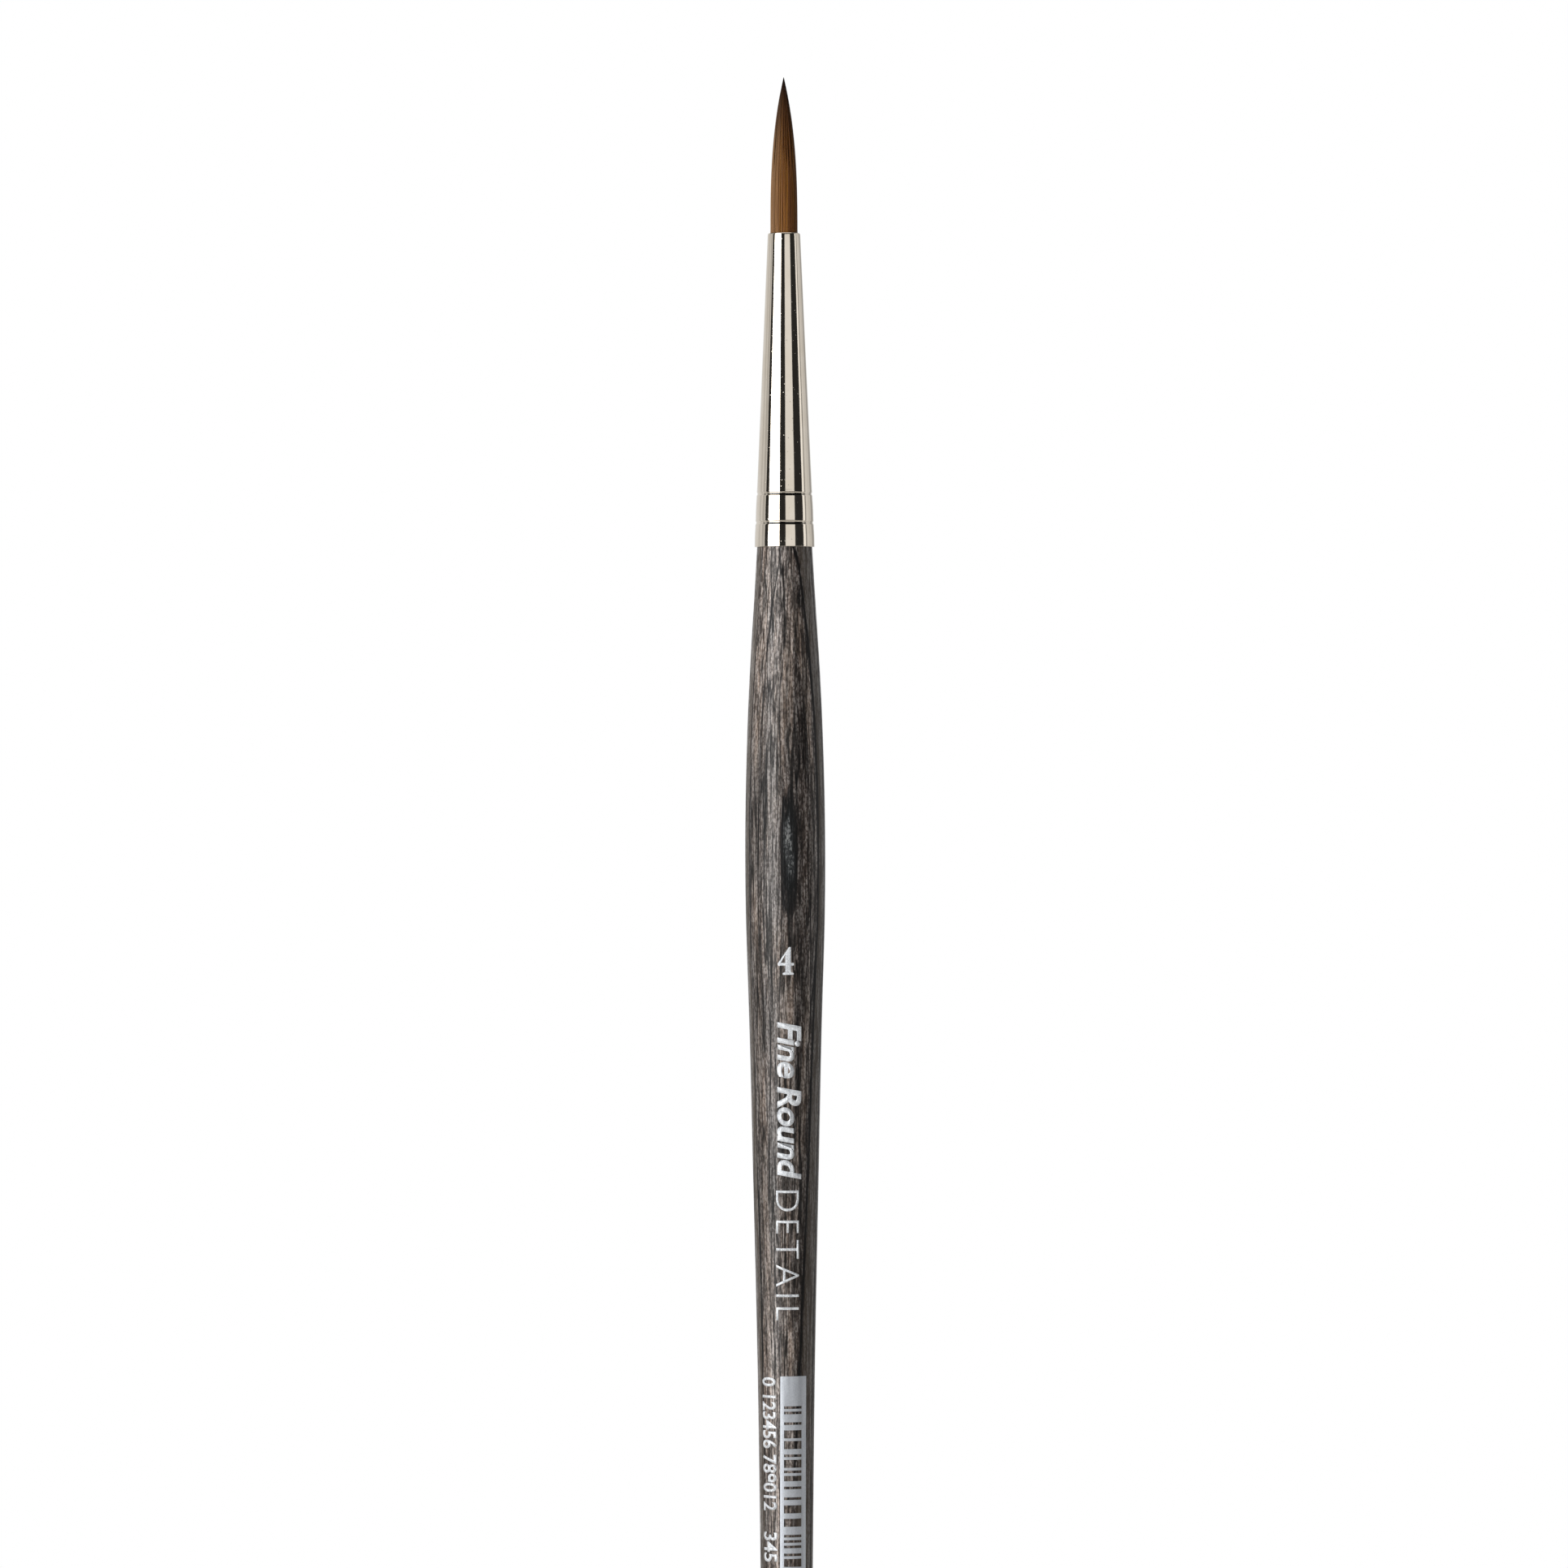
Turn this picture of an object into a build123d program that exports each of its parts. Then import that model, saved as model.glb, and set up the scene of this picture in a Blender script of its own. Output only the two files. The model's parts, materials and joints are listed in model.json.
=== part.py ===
from build123d import *
from math import radians, tan
import os

os.makedirs("parts", exist_ok=True)

# Pointed round detail brush, size 4, in millimetres. It stands on its tail end: the tail is
# at z = 0, +Z runs up the axis to the tip of the tuft, and every section is round.

# Turned wooden handle
handle_length = 140.0  # tail end up to the ferrule's lower edge
tail_radius = 2.35
tail_rounding = 2.2  # height of the domed tail end
belly_radius = 3.94
belly_land = 5.0  # straight length at the widest place, where a holder grips
neck_length = 27.5  # ferrule's lower edge down to the belly's straight length
neck_slope = 0.058  # how fast the neck still widens where it leaves the ferrule
tenon_gap = 4.7  # air between the end of the tenon and the resin
tenon_chamfer = 0.4
# Share of the way down a stretch and share of its change of radius reached there
neck_form = ((0.25, 0.335), (0.485, 0.65), (0.715, 0.835))
taper_form = ((0.12, 0.19), (0.27, 0.425), (0.42, 0.647), (0.62, 0.831), (0.88, 0.975))

# Seamless conical ferrule, drawn tube with two rolled crimps
ferrule_length = 31.0
ferrule_base_radius = 2.96
ferrule_mouth_radius = 1.60
ferrule_wall = 0.20
mouth_rounding = 0.15  # outer edge of the mouth
edge_rounding = 0.04  # the other three edges
crimp_rises = (2.4, 5.25)  # ferrule's lower edge up to the middle of each crimp
crimp_width = 0.56
crimp_depth = 0.07
crimp_bottom_rounding = 0.25
crimp_shoulder_rounding = 0.80

# Glue film between the tenon and the ferrule
glue_film = 0.04
glue_setback = 0.30  # its ends stop short of the ferrule's edge and the tenon's chamfer

# Filament bundle: its root in the ferrule, and the free tuft
mouth_clearance = 0.055  # free tuft to the bore at the ferrule's mouth
tuft_out = 15.4  # free length, ferrule's mouth to the tip
tuft_tip_radius = 0.04
tuft_fullness = 2.7  # a higher power keeps the tuft full for longer before the point
root_depth = 13.0  # ferrule's mouth down to the cut ends of the filaments
root_clearance = 0.03  # bundle to the ferrule's bore
waist_rise = 0.7  # cut ends up to the waist
waist_spread = 1.1  # length over which the bundle opens again above the waist

# Binding thread
thread_diameter = 0.22
thread_turns = 5
thread_gap = 0.04  # between one turn and the next
thread_clearance = 0.0126  # uppermost turn to the ferrule's bore
thread_standoff = 0.03  # resin between the thread and the filaments

# Resin that seals the bundle's root in the ferrule
resin_below = 1.8  # depth of resin under the cut ends
resin_above = 0.6  # resin above the last turn of thread

# The tuft flexes at four heights, about Y and X by turns
first_hinge_rise = 1.7  # ferrule's mouth up to the first hinge
hinge_pitch = 2.8
hinge_half_range = 25.0  # degrees to each side
hinge_margin = 4.0  # degrees still open at the end of the range
hinge_gap = 0.05  # each cone's point to the hinge

section_names = ("tuft_heel", "tuft_belly", "tuft_shoulder", "tuft_point")
axis_foot = (0, 0)

# Heights and radii that follow from the sizes above
mouth = handle_length + ferrule_length
tip = mouth + tuft_out
tuft_radius = ferrule_mouth_radius - ferrule_wall - mouth_clearance
land_top = handle_length - neck_length
land_bottom = land_top - belly_land
crimp_heights = [handle_length + rise for rise in crimp_rises]
root_bottom = mouth - root_depth
waist_bottom = root_bottom + waist_rise
thread_pitch = thread_diameter + thread_gap
waist_top = waist_bottom + thread_turns * thread_pitch
resin_low = root_bottom - resin_below
resin_high = waist_top + resin_above
tenon_top = resin_low - tenon_gap
hinge_heights = [mouth + first_hinge_rise + i * hinge_pitch for i in range(len(section_names))]
hinge_slope = tan(radians((hinge_half_range + hinge_margin) / 2))


def ferrule_radius(height):
    """Outer radius of the plain cone at a height, without its crimps."""
    share = (height - handle_length) / ferrule_length
    return ferrule_base_radius + share * (ferrule_mouth_radius - ferrule_base_radius)


def crimped_line(low, high, inset):
    """Corner points up a surface that lies inset inside the ferrule's, through both crimps."""
    points = [(ferrule_radius(low) - inset, low)]
    for middle in crimp_heights:
        below = middle - crimp_width / 2
        above = middle + crimp_width / 2
        points.append((ferrule_radius(below) - inset, below))
        points.append((ferrule_radius(middle) - inset - crimp_depth, middle))
        points.append((ferrule_radius(above) - inset, above))
    points.append((ferrule_radius(high) - inset, high))
    return points


def crimp_roundings():
    """Fillet radii for the inner corners of a crimped line, in the same order."""
    one_crimp = [crimp_shoulder_rounding, crimp_bottom_rounding, crimp_shoulder_rounding]
    return one_crimp * len(crimp_rises)


def tuft_outline_radius(height):
    """Radius of the shaped tuft at a height above the ferrule's mouth or just below it."""
    share = max(height - mouth, 0) / tuft_out
    return tuft_tip_radius + (tuft_radius - tuft_tip_radius) * (1 - share**tuft_fullness)


def stations(start, end, form):
    """Points between two ends, radius and height each, placed by a form's two shares."""
    return [
        (start[0] + swell * (end[0] - start[0]), start[1] + share * (end[1] - start[1]))
        for share, swell in form
    ]


# Handle: domed tail, long taper, straight land at the belly, neck, and the tenon
bore_inset = ferrule_wall + glue_film
neck_end = (ferrule_radius(handle_length) - bore_inset, handle_length)
land_upper_end = (belly_radius, land_top)
land_lower_end = (belly_radius, land_bottom)
tail_edge = (tail_radius, tail_rounding)
tenon_side = crimped_line(handle_length, tenon_top - tenon_chamfer, bore_inset)

with BuildPart() as handle:
    with BuildSketch(Plane.XZ):
        with BuildLine():
            EllipticalCenterArc(
                (0, tail_rounding), tail_radius, tail_rounding, start_angle=-90, arc_size=90
            )
            Spline(
                tail_edge,
                *reversed(stations(land_lower_end, tail_edge, taper_form)),
                land_lower_end,
                tangents=((0, 1), (0, 1)),
            )
            Line(land_lower_end, land_upper_end)
            Spline(
                land_upper_end,
                *reversed(stations(neck_end, land_upper_end, neck_form)),
                neck_end,
                tangents=((0, 1), (-neck_slope, 1)),
            )
            FilletPolyline(*tenon_side, radius=crimp_roundings())
            tenon_end_radius = tenon_side[-1][0] - tenon_chamfer
            Polyline(tenon_side[-1], (tenon_end_radius, tenon_top), (0, tenon_top), axis_foot)
        make_face()
    revolve(axis=Axis.Z)
handle.part.label = "handle"
export_step(handle.part, "parts/handle.step")

# Ferrule: one wall of even thickness, crimps pressed in from outside
with BuildPart() as ferrule:
    outside = crimped_line(handle_length, mouth, 0)
    inside = crimped_line(handle_length, mouth, ferrule_wall)
    mouth_edges = [mouth_rounding, edge_rounding]
    with BuildSketch(Plane.XZ):
        with BuildLine():
            FilletPolyline(
                *outside,
                *reversed(inside),
                radius=[
                    edge_rounding,
                    *crimp_roundings(),
                    *mouth_edges,
                    *crimp_roundings(),
                    edge_rounding,
                ],
                close=True,
            )
        make_face()
    revolve(axis=Axis.Z)
ferrule.part.label = "ferrule"
export_step(ferrule.part, "parts/ferrule.step")

# Glue film: a sleeve between the tenon and the bore, pressed into the crimps with them
with BuildPart() as handle_adhesive:
    glue_low = handle_length + glue_setback
    glue_high = tenon_top - tenon_chamfer - glue_setback
    glue_outside = crimped_line(glue_low, glue_high, ferrule_wall)
    glue_inside = crimped_line(glue_low, glue_high, bore_inset)
    with BuildSketch(Plane.XZ):
        with BuildLine():
            FilletPolyline(*glue_outside, radius=crimp_roundings())
            Line(glue_outside[-1], glue_inside[-1])
            FilletPolyline(*glue_inside, radius=crimp_roundings())
            Line(glue_inside[0], glue_outside[0])
        make_face()
    revolve(axis=Axis.Z)
handle_adhesive.part.label = "handle_adhesive"
export_step(handle_adhesive.part, "parts/handle_adhesive.step")

# Root of the filament bundle: waisted under the thread, filling the bore above it, and
# standing a little way out of the mouth up to the first hinge
hinge = hinge_heights[0]
root_rim_height = hinge - hinge_gap - tuft_outline_radius(hinge) * hinge_slope
bundle_inset = ferrule_wall + root_clearance
thread_inset = ferrule_wall + thread_clearance + thread_diameter
waist_radius = ferrule_radius(waist_top) - thread_inset - thread_standoff
opened = waist_top + waist_spread
with BuildPart() as tuft_root:
    with BuildSketch(Plane.XZ):
        with BuildLine():
            Polyline(
                (0, root_bottom),
                (waist_radius, root_bottom),
                (waist_radius, waist_top),
                (ferrule_radius(opened) - bundle_inset, opened),
                (tuft_radius, mouth),
                (tuft_outline_radius(root_rim_height), root_rim_height),
                (0, hinge - hinge_gap),
                close=True,
            )
        make_face()
    revolve(axis=Axis.Z)
tuft_root.part.label = "tuft_root"
export_step(tuft_root.part, "parts/tuft_root.step")

# Binding thread: turns laid side by side round the bundle's waist
thread_radius = thread_diameter / 2
turn_heights = [waist_bottom + thread_pitch * (i + 0.5) for i in range(thread_turns)]
with BuildPart() as binding_thread:
    for turn_height in turn_heights:
        with Locations((0, 0, turn_height)):
            Torus(waist_radius + thread_standoff + thread_radius, thread_radius)
binding_thread.part.label = "binding_thread"
export_step(binding_thread.part, "parts/binding_thread.step")

# Resin plug: fills the bore round the bundle's tied end
with BuildPart() as tuft_resin:
    with BuildSketch(Plane.XZ):
        with BuildLine():
            Polyline(
                (0, resin_low),
                (ferrule_radius(resin_low) - ferrule_wall, resin_low),
                (ferrule_radius(resin_high) - ferrule_wall, resin_high),
                (0, resin_high),
                close=True,
            )
        make_face()
    revolve(axis=Axis.Z)
    add(tuft_root.part, mode=Mode.SUBTRACT)
    add(binding_thread.part, mode=Mode.SUBTRACT)
tuft_resin.part.label = "tuft_resin"
export_step(tuft_resin.part, "parts/tuft_resin.step")

# Free tuft: four sections, each pivoting on the axis between two blunt cones
for name, lower, upper in zip(section_names, hinge_heights, [*hinge_heights[1:], None]):
    rim_low = lower + hinge_gap + tuft_outline_radius(lower) * hinge_slope
    if upper is None:
        rim_high = tip
        top_point = (0, tip)
    else:
        rim_high = upper - hinge_gap - tuft_outline_radius(upper) * hinge_slope
        top_point = (0, upper - hinge_gap)
    steps = 6
    heights = [rim_low + (rim_high - rim_low) * i / steps for i in range(steps + 1)]
    side = [(tuft_outline_radius(height), height) for height in heights]
    with BuildPart() as tuft_section:
        with BuildSketch(Plane.XZ):
            with BuildLine():
                Line((0, lower + hinge_gap), side[0])
                Spline(*side)
                Polyline(side[-1], top_point, (0, lower + hinge_gap))
            make_face()
        revolve(axis=Axis.Z)
    tuft_section.part.label = name
    export_step(tuft_section.part, f"parts/{name}.step")
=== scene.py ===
import json
import random
from math import cos, pi, radians, sin

import bmesh
import bpy
import numpy as np
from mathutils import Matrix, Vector


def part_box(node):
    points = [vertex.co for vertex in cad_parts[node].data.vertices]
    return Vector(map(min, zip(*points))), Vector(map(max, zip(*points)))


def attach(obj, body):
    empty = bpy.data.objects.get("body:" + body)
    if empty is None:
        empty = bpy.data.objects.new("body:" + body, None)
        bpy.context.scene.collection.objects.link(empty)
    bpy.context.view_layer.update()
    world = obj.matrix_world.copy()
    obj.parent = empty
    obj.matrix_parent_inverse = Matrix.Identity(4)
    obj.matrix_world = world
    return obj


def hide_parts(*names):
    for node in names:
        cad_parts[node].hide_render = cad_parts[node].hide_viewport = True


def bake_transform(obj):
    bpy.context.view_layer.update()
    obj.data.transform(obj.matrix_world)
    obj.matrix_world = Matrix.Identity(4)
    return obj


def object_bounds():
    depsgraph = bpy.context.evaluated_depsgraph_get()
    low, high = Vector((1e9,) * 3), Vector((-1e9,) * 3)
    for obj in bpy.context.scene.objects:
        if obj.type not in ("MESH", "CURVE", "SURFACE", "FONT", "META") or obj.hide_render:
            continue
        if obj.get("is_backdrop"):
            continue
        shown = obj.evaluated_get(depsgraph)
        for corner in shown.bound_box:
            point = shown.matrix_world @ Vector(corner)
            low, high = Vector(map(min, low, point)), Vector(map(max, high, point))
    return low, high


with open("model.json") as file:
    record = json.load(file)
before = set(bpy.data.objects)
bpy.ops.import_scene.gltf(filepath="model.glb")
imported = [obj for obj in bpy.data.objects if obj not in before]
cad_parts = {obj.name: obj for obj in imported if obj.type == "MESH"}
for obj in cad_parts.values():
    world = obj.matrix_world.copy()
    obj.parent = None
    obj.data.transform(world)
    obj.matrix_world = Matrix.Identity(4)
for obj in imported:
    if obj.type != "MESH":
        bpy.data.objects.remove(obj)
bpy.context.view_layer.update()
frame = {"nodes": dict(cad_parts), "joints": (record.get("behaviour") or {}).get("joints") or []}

# Filament bundle: several hundred tapered filaments of brown-dyed PBT, cut level at the root and
# closing to a point at the tip. Resin holds the root in the ferrule. The frame's joints sit at four
# heights, so the free part is made in zones, one centred on each joint.
MM = 0.001
TUFT_RADIUS = 1.345  # this and the other sizes are in mm
TIP_RADIUS = 0.03
TUFT_FULLNESS = 2.7  # a higher power keeps the tuft full for longer before the point
TIED_RADIUS = 1.60  # under the thread
TIED_LENGTH = 2.1  # cut ends up to where the bundle opens above the thread
OPEN_RADIUS = 1.76
OPEN_HEIGHT = 3.2
FILAMENT_RADIUS = 0.068  # a real one is 0.05: drawn coarser, so that single filaments show
FILAMENT_SIDES = 8
FILAMENT_LAYERS = ((0.948, 70), (0.868, 62), (0.79, 54))  # share of the radius, filaments
CORE_SHARE = 0.77  # share of the radius that one solid core stands for
CORE_SIDES = 48
CORE_TONE = 0.45
TURN_SLACK = 0.012  # radians that a filament stands out of its place in the layer
WANDER = 0.028  # radians that it strays to each side on its way up
WANDER_LENGTH = (9, 18)  # mm from one stray to the next on the same side
SHORT_SHARE = 0.36  # share of the filaments that end well below the tip
SHORT_BY = (0.6, 8.5)  # mm from a short filament's end to the tip
LONG_BY = (0, 0.25)  # mm from a long filament's end to the tip
END_TAPER = 1.8  # mm over which a filament narrows to its end
PATCH_SHARE = 0.45  # share of a filament's tone that it has in common with its neighbours
SIDE_SLACK = 0.06  # how far its side of the bundle is off its true one
RING_STEP = 0.35
ROOT_RING_STEP = 2.0
FILAMENT_EDGE = 60  # degrees from which an edge is shaded sharp

random.seed(4)
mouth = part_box("ferrule")[1].z / MM
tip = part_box("tuft_point")[1].z / MM
cut_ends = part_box("tuft_root")[0].z / MM
hinges = [joint["pos_m"][2] / MM for joint in frame["joints"]]
half_zone = (hinges[1] - hinges[0]) / 2


def linear(code):
    """An sRGB hex colour as linear RGBA."""
    parts = [int(code[i : i + 2], 16) / 255 for i in (1, 3, 5)]
    curved = [c / 12.92 if c <= 0.04045 else ((c + 0.055) / 1.055) ** 2.4 for c in parts]
    return (*curved, 1.0)


def add(tree, kind, inputs=None, stops=None, **settings):
    """Adds a node: inputs are values, hex colours or nodes to link, stops are a ramp's."""
    made = tree.nodes.new("ShaderNode" + kind)
    for key, value in settings.items():
        setattr(made, key, value)
    for key, value in (inputs or {}).items():
        if isinstance(value, bpy.types.Node):
            value = value.outputs[0]
        if isinstance(value, bpy.types.NodeSocket):
            tree.links.new(value, made.inputs[key])
        else:
            made.inputs[key].default_value = linear(value) if isinstance(value, str) else value
    if stops:
        ramp = made.color_ramp.elements
        while len(ramp) < len(stops):
            ramp.new(0.5)
        for element, (place, code) in zip(ramp, stops):
            element.position = place
            element.color = linear(code)
    return made


def new_material(name):
    """An empty node material and its tree."""
    made = bpy.data.materials.new(name)
    made.use_nodes = True
    made.node_tree.nodes.clear()
    return made, made.node_tree


def new_piece(name, points, faces, material, sharp=None, **attributes):
    """A mesh object from points in mm, shaded smooth, with float attributes for its points."""
    mesh = bpy.data.meshes.new(name)
    mesh.from_pydata([Vector(point) * MM for point in points], [], faces)
    mesh.shade_smooth()
    if sharp:
        mesh.set_sharp_from_angle(angle=radians(sharp))
    for key, values in attributes.items():
        mesh.attributes.new(key, "FLOAT", "POINT").data.foreach_set("value", values)
    mesh.materials.append(material)
    piece = bpy.data.objects.new(name, mesh)
    bpy.context.scene.collection.objects.link(piece)
    return piece


def bundle_radius(height):
    """Outer radius of the bundle at a height, from its cut ends up to its point."""
    if height >= mouth:
        share = min((height - mouth) / (tip - mouth), 1)
        return TIP_RADIUS + (TUFT_RADIUS - TIP_RADIUS) * (1 - share**TUFT_FULLNESS)
    heights = (cut_ends + TIED_LENGTH, cut_ends + OPEN_HEIGHT, mouth)
    return float(np.interp(height, heights, (TIED_RADIUS, OPEN_RADIUS, TUFT_RADIUS)))


def new_filament(share, turn):
    """One filament's place in the bundle, where it ends, how it strays, and what its colour follows:
    its tone, its hue, and its side of the bundle from 0 on the left to 1 on the right, which
    the painted highlight and painted shade follow."""
    patch = 0.5 + 0.5 * sin(5 * turn + 1.1) * sin(9 * turn + 0.4)
    short = random.random() < SHORT_SHARE
    return {
        "share": share,
        "turn": turn + random.uniform(-TURN_SLACK, TURN_SLACK),
        "end": tip - (random.uniform(*SHORT_BY) if short else random.uniform(*LONG_BY)),
        "phase": random.uniform(0, 2 * pi),
        "wave": random.uniform(*WANDER_LENGTH),
        "tone": PATCH_SHARE * patch + (1 - PATCH_SHARE) * random.random(),
        "hue": random.random(),
        "side": 0.5 + 0.5 * cos(turn) + random.uniform(-SIDE_SLACK, SIDE_SLACK),
    }


def filament_rings(filament, heights):
    """Rings of one filament, each its centre, radius and height."""
    rings = []
    for height in heights:
        left = max(filament["end"] - height, 0.01)
        free = max(height - mouth, 0)
        stray = WANDER * sin(2 * pi * free / filament["wave"] + filament["phase"])
        turn = filament["turn"] + stray * min(free, 1)
        bundle = bundle_radius(height)
        taper = min(left / END_TAPER, 1) ** 0.6
        full = FILAMENT_RADIUS * min(bundle / TUFT_RADIUS, 1)
        out = filament["share"] * bundle - (1 - taper) * full
        rings.append((out * cos(turn), out * sin(turn), full * taper, height))
    return rings


def add_tube(rings, sides, points, faces):
    """Adds a closed tube through rings to a mesh's points and faces."""
    first = len(points)
    for x, y, radius, height in rings:
        for side in range(sides):
            angle = 2 * pi * side / sides
            points.append((x + radius * cos(angle), y + radius * sin(angle), height))
    for low in range(first, len(points) - sides, sides):
        for side in range(sides):
            after = (side + 1) % sides
            faces.append((low + side, low + after, low + sides + after, low + sides + side))
    faces.append(range(first + sides - 1, first - 1, -1))
    faces.append(range(len(points) - sides, len(points)))


def filament_zone(name, low, high, step, material):
    """Every filament, and the core under them, between two heights."""
    count = max(round((high - low) / step), 1)
    heights = [low + (high - low) * i / count for i in range(count + 1)]
    core = [(0, 0, CORE_SHARE * bundle_radius(height), height) for height in heights]
    points, faces, tone, hue, side = [], [], [], [], []
    add_tube(core, CORE_SIDES, points, faces)
    tone += [CORE_TONE] * len(points)
    hue += [0.5] * len(points)
    side += [0.5] * len(points)
    for filament in filaments:
        reached = [height for height in heights if height < filament["end"]]
        if reached and filament["end"] < high:
            reached.append(filament["end"])
        if len(reached) > 1:
            add_tube(filament_rings(filament, reached), FILAMENT_SIDES, points, faces)
            tone += [filament["tone"]] * (len(points) - len(tone))
            hue += [filament["hue"]] * (len(points) - len(hue))
            side += [filament["side"]] * (len(points) - len(side))
    rise = [(point[2] - mouth) / (tip - mouth) for point in points]
    looks = {"tone": tone, "hue": hue, "side": side, "rise": rise}
    return new_piece(name, points, faces, material, FILAMENT_EDGE, **looks)


# Dyed PBT filament, drawn and tapered: brown, with purplish and golden filaments among the
# others, a satin gloss along each one, and darker towards the fine ends. A painted highlight
# makes the bundle paler and greyer on its left side, and painted shade makes it deeper on its right.
filament_finish, tree = new_material("pbt_filament_dyed_and_drawn")
tone = add(tree, "Attribute", attribute_name="tone").outputs["Fac"]
hue = add(tree, "Attribute", attribute_name="hue").outputs["Fac"]
# side runs from the bundle's left to its right: the painted highlight and painted shade follow it
side = add(tree, "Attribute", attribute_name="side").outputs["Fac"]
rise = add(tree, "Attribute", attribute_name="rise").outputs["Fac"]
# Hue and tone are a filament's own, so each one gets a noise of its own along its length.
along = add(tree, "CombineXYZ", {"X": hue, "Y": rise, "Z": tone})
stretched = add(tree, "VectorMath", {0: along, 1: (40, 5, 40)}, operation="MULTIPLY")
uneven = add(tree, "TexNoise", {"Vector": stretched, "Scale": 1.0, "Detail": 3.0})
shade = add(tree, "Math", {0: tone, 1: 0.65, 2: -0.06}, operation="MULTIPLY_ADD")
shade = add(tree, "Math", {0: uneven, 1: 0.5, 2: shade}, operation="MULTIPLY_ADD")
dye = ((0.0, "#3B210F"), (0.3, "#55321A"), (0.6, "#7C4F1F"), (0.85, "#966428"), (1.0, "#B28446"))
brown = add(tree, "ValToRGB", {"Fac": shade}, dye)
tints = ((0.0, "#4C2E22"), (0.09, "#60402E"), (0.16, "#825523"))
tints += ((0.78, "#825523"), (0.86, "#AC7816"))
tint = add(tree, "ValToRGB", {"Fac": hue}, tints)
colour = add(tree, "MixRGB", {"Fac": 0.45, "Color1": brown, "Color2": tint})
# Painted highlight: a paler, greyer colour mixed in on the bundle's left side, where the light
# falls.
painted_highlight_ramp = ((0.0, "#3A2A1E"), (0.5, "#745A42"), (1.0, "#B08C68"))
painted_highlight_colour = add(tree, "ValToRGB", {"Fac": shade}, painted_highlight_ramp)
painted_highlight = add(tree, "MapRange", {"Value": side, "From Min": 0.46, "From Max": 0.12, "To Max": 0.65})
colour = add(tree, "MixRGB", {"Fac": painted_highlight, "Color1": colour, "Color2": painted_highlight_colour})
# Painted shade: the colour darkened towards the bundle's right side, away from the light.
painted_shade_ramp = ((0.5, "#FFFFFF"), (0.72, "#DCD4C8"), (0.95, "#CCC0AE"))
painted_shade = add(tree, "ValToRGB", {"Fac": side}, painted_shade_ramp)
colour = add(tree, "MixRGB", {"Fac": 1.0, "Color1": colour, "Color2": painted_shade}, blend_type="MULTIPLY")
ends = ((0.0, "#EAE8E6"), (0.45, "#DEDCD9"), (0.72, "#A9A298"), (0.90, "#74695F"), (1.0, "#2A2A30"))
darker = add(tree, "ValToRGB", {"Fac": rise}, ends)
colour = add(tree, "MixRGB", {"Fac": 1.0, "Color1": colour, "Color2": darker}, blend_type="MULTIPLY")
gloss = add(tree, "MapRange", {"Value": uneven, "To Min": 0.30, "To Max": 0.46})
settings = {"Base Color": colour, "Roughness": gloss, "IOR": 1.55, "Specular IOR Level": 0.10}
shader = add(tree, "BsdfPrincipled", settings)
add(tree, "OutputMaterial", {"Surface": shader})

filaments = []
for share, count in FILAMENT_LAYERS:
    start = random.uniform(0, 1)
    filaments += [new_filament(share, 2 * pi * (i + start) / count) for i in range(count)]

root_top = hinges[0] - half_zone
root = filament_zone("filaments_root", cut_ends, root_top, ROOT_RING_STEP, filament_finish)
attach(root, "brush")
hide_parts("tuft_root")

for joint, hinge in zip(frame["joints"], hinges):
    body = joint["child"]
    low = hinge - half_zone
    high = hinge + half_zone
    top = tip if hinge == hinges[-1] else high
    zone = filament_zone("filaments_" + body, low, top, RING_STEP, filament_finish)
    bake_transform(zone)
    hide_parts("tuft_" + body)

# Binding thread: waxed polyester thread, wound five times round the bundle near its cut ends.
# The resin soaks and holds it, so it stays as the turns that the frame has.
THREAD_PLY = 0.16  # mm along the thread from one ply to the next

thread_finish, tree = new_material("polyester_thread_twisted_and_waxed")
place = add(tree, "TexCoord").outputs["Object"]
plies = {"Vector": place, "Scale": 1 / (THREAD_PLY * MM) / 2, "Distortion": 1.5, "Detail": 2.0}
twist = add(tree, "TexWave", plies, bands_direction="DIAGONAL")
colour = add(tree, "ValToRGB", {"Fac": twist}, ((0.0, "#B9AE9A"), (1.0, "#E9E2D2")))
bump = add(tree, "Bump", {"Height": twist, "Strength": 0.6, "Distance": 0.03 * MM})
settings = {"Base Color": colour, "Normal": bump, "Roughness": 0.55, "Sheen Weight": 0.3}
shader = add(tree, "BsdfPrincipled", settings)
add(tree, "OutputMaterial", {"Surface": shader})


def refinish(node, finish):
    """Gives a node that keeps the frame's own mesh a finish of its own."""
    materials = frame["nodes"][node].data.materials
    materials.clear()
    materials.append(finish)


refinish("binding_thread", thread_finish)

# Resin plug: amber epoxy, poured into the ferrule round the tied ends and cured there.
# It is clear, with a few small bubbles and streaks of filler.
BUBBLE = 0.25  # mm from one bubble to the next
STREAKS_PER_MM = 0.4

resin_finish, tree = new_material("epoxy_resin_poured")
place = add(tree, "TexCoord").outputs["Object"]
cloud = add(tree, "TexNoise", {"Vector": place, "Scale": STREAKS_PER_MM / MM, "Detail": 4.0})
bubbles = add(tree, "TexVoronoi", {"Vector": place, "Scale": 1 / (BUBBLE * MM)})
colour = add(tree, "ValToRGB", {"Fac": cloud}, ((0.3, "#8A5A1C"), (0.7, "#C08A3A")))
bump = add(tree, "Bump", {"Height": bubbles, "Strength": 0.4, "Distance": 0.02 * MM})
gloss = add(tree, "MapRange", {"Value": cloud, "To Min": 0.10, "To Max": 0.25})
settings = {"Base Color": colour, "Normal": bump, "Roughness": gloss, "IOR": 1.55}
settings |= {"Transmission Weight": 0.35}
shader = add(tree, "BsdfPrincipled", settings)
add(tree, "OutputMaterial", {"Surface": shader})
refinish("tuft_resin", resin_finish)

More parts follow.
